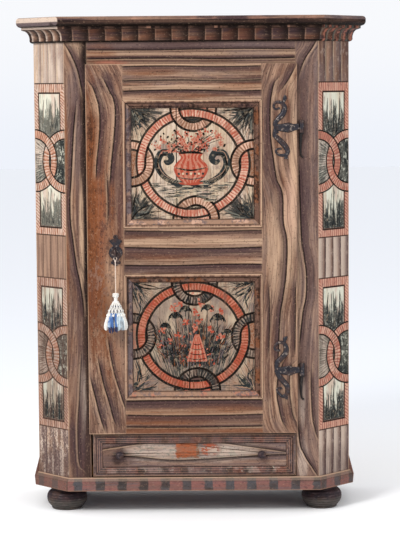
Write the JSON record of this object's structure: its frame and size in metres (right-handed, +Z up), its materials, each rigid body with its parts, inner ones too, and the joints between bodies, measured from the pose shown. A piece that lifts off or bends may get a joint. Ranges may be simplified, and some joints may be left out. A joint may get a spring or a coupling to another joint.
{
  "type": "painted cupboard",
  "caption": "Painted wooden cupboard with canted front corners, a coved cornice, one panelled door with scrolled strap hinges and a tasselled key, a drawer and bun feet.",
  "frame": {"origin": "on the floor, below the middle of the overall width and of the overall depth, which runs from the key's bow to the back boards", "axes": "+Z up, +Y towards the back, +X to the right as seen from the front"},
  "size_m": [1.282, 0.566, 1.82],
  "materials": {
    "dark_feet": "dark worn paint",
    "painted_plinth": "worn painted blocks",
    "painted_cornice": "worn painted blocks",
    "painted_case": "worn grained paint",
    "bare_wood": "old bare softwood",
    "painted_door": "worn grained paint",
    "painted_panel": "worn painted ornament",
    "painted_moulding": "worn dark paint",
    "painted_drawer": "worn grained paint",
    "dark_knob": "dark turned wood",
    "forged_iron": "dark forged iron",
    "cord_thread": "twisted cord",
    "tassel_thread": "looped silk strands"
  },
  "bodies": {
    "case": {"foot_front_left": "dark_feet", "foot_front_right": "dark_feet", "foot_back_left": "dark_feet", "foot_back_right": "dark_feet", "corner_blocks": "bare_wood", "plinth_front": "painted_plinth", "plinth_corner_left": "painted_plinth", "plinth_corner_right": "painted_plinth", "plinth_side_left": "painted_plinth", "plinth_side_right": "painted_plinth", "case_bottom": "bare_wood", "cabinet_floor": "bare_wood", "side_left": "painted_case", "side_right": "painted_case", "corner_board_left": "painted_case", "corner_board_right": "painted_case", "front_stile_left": "painted_case", "front_stile_right": "painted_case", "frieze_rail": "painted_case", "back_boards": "bare_wood", "shelf_lower": "bare_wood", "shelf_upper": "bare_wood", "shelf_battens": "bare_wood", "cornice_front": "painted_cornice", "cornice_corner_left": "painted_cornice", "cornice_corner_right": "painted_cornice", "cornice_side_left": "painted_cornice", "cornice_side_right": "painted_cornice", "cornice_slab": "painted_cornice", "drawer_guides": "bare_wood", "bolt_keeper": "forged_iron", "pintle_upper": "forged_iron", "pintle_lower": "forged_iron"},
    "door": {"door_stile_lock": "painted_door", "door_stile_hinge": "painted_door", "door_rail_top": "painted_door", "door_rail_middle": "painted_door", "door_rail_bottom": "painted_door", "panel_upper": "painted_panel", "panel_lower": "painted_panel", "moulding_upper": "painted_moulding", "moulding_lower": "painted_moulding", "hinge_upper": "forged_iron", "hinge_lower": "forged_iron", "hinge_nails": "forged_iron", "escutcheon": "forged_iron", "lock_case": "forged_iron"},
    "bolt": {"lock_bolt": "forged_iron"},
    "key": {"key": "forged_iron"},
    "tassel": {"key_cord": "cord_thread", "tassel": "tassel_thread"},
    "drawer": {"drawer_front": "painted_drawer", "drawer_moulding": "painted_drawer", "drawer_side_left": "bare_wood", "drawer_side_right": "bare_wood", "drawer_back": "bare_wood", "drawer_bottom": "bare_wood", "knob_left": "dark_knob", "knob_right": "dark_knob"}
  },
  "joints": [
    {"name": "door_swing", "type": "hinge", "parent": "case", "child": "door", "pos_m": [0.399, -0.204, 1.42], "axis": [0, 0, 1], "range_deg": [0, 170]},
    {"name": "key_turn", "type": "hinge", "parent": "door", "child": "key", "pos_m": [-0.279, -0.208, 0.966], "axis": [0, 1, 0], "range_deg": [0, 360]},
    {"name": "bolt_slide", "type": "slide", "parent": "door", "child": "bolt", "axis": [-1, 0, 0], "range_m": [0, 0.02]},
    {"name": "tassel_swing", "type": "hinge", "parent": "key", "child": "tassel", "pos_m": [-0.279, -0.255, 0.9475], "axis": [0, 1, 0], "range_deg": [-40, 40]},
    {"name": "drawer_slide", "type": "slide", "parent": "case", "child": "drawer", "axis": [0, -1, 0], "range_m": [0, 0.33]}
  ],
  "couplings": [
    {"joint": "bolt_slide", "follows": "key_turn", "m_per_rad": 0.00318}
  ]
}
